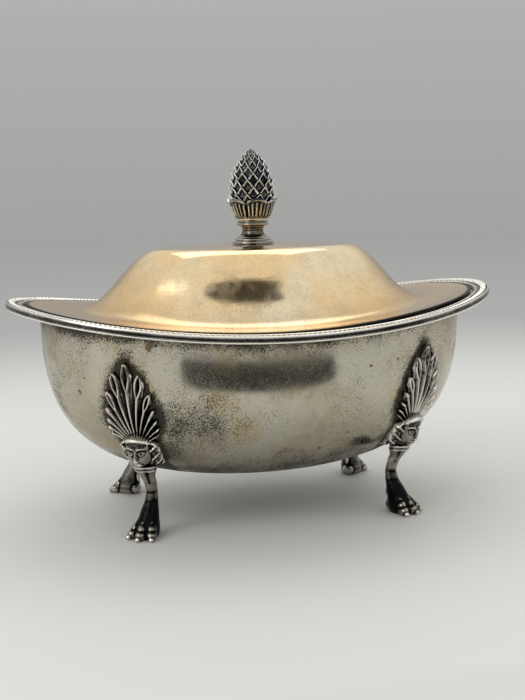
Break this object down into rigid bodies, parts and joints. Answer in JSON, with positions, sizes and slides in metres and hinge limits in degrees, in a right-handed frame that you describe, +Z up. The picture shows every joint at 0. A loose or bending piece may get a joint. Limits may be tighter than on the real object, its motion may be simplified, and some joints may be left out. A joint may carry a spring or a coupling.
{
  "type": "covered sugar bowl",
  "caption": "Oval covered sugar bowl in silver: boat-shaped bowl on paw-foot legs, with a lift-off domed lid and pine-cone finial.",
  "frame": {"origin": "on the table, under the middle of the bowl", "axes": "+X along the bowl's long axis, +Y across it towards the back, +Z up"},
  "size_m": [0.16, 0.108, 0.1176],
  "materials": {
    "bowl_silver": "tarnished polished silver",
    "border_silver": "worn silver with oxidised recesses",
    "cast_silver": "oxidised cast silver with bright ridges",
    "lid_silver": "polished silver with a golden tarnish",
    "finial_silver": "oxidised cast silver with bright ridges",
    "fixing_metal": "dull silvered brass"
  },
  "bodies": {
    "bowl": {"bowl_body": "bowl_silver", "rim_flange": "bowl_silver", "rim_border": "border_silver", "palmette_front_left": "cast_silver", "palmette_front_right": "cast_silver", "palmette_back_right": "cast_silver", "palmette_back_left": "cast_silver", "leg_front_left": "cast_silver", "leg_front_right": "cast_silver", "leg_back_right": "cast_silver", "leg_back_left": "cast_silver"},
    "lid": {"lid_shell": "lid_silver", "lid_bezel": "lid_silver", "finial_cone": "finial_silver", "finial_leaf_cup": "finial_silver", "finial_stem": "finial_silver", "finial_foot_plate": "finial_silver", "finial_washer": "fixing_metal", "finial_nut": "fixing_metal", "finial_stud": "fixing_metal"}
  },
  "joints": [
    {"name": "lid_lift", "type": "slide", "parent": "bowl", "child": "lid", "axis": [0, 0, 1], "range_m": [0, 0.06]}
  ]
}
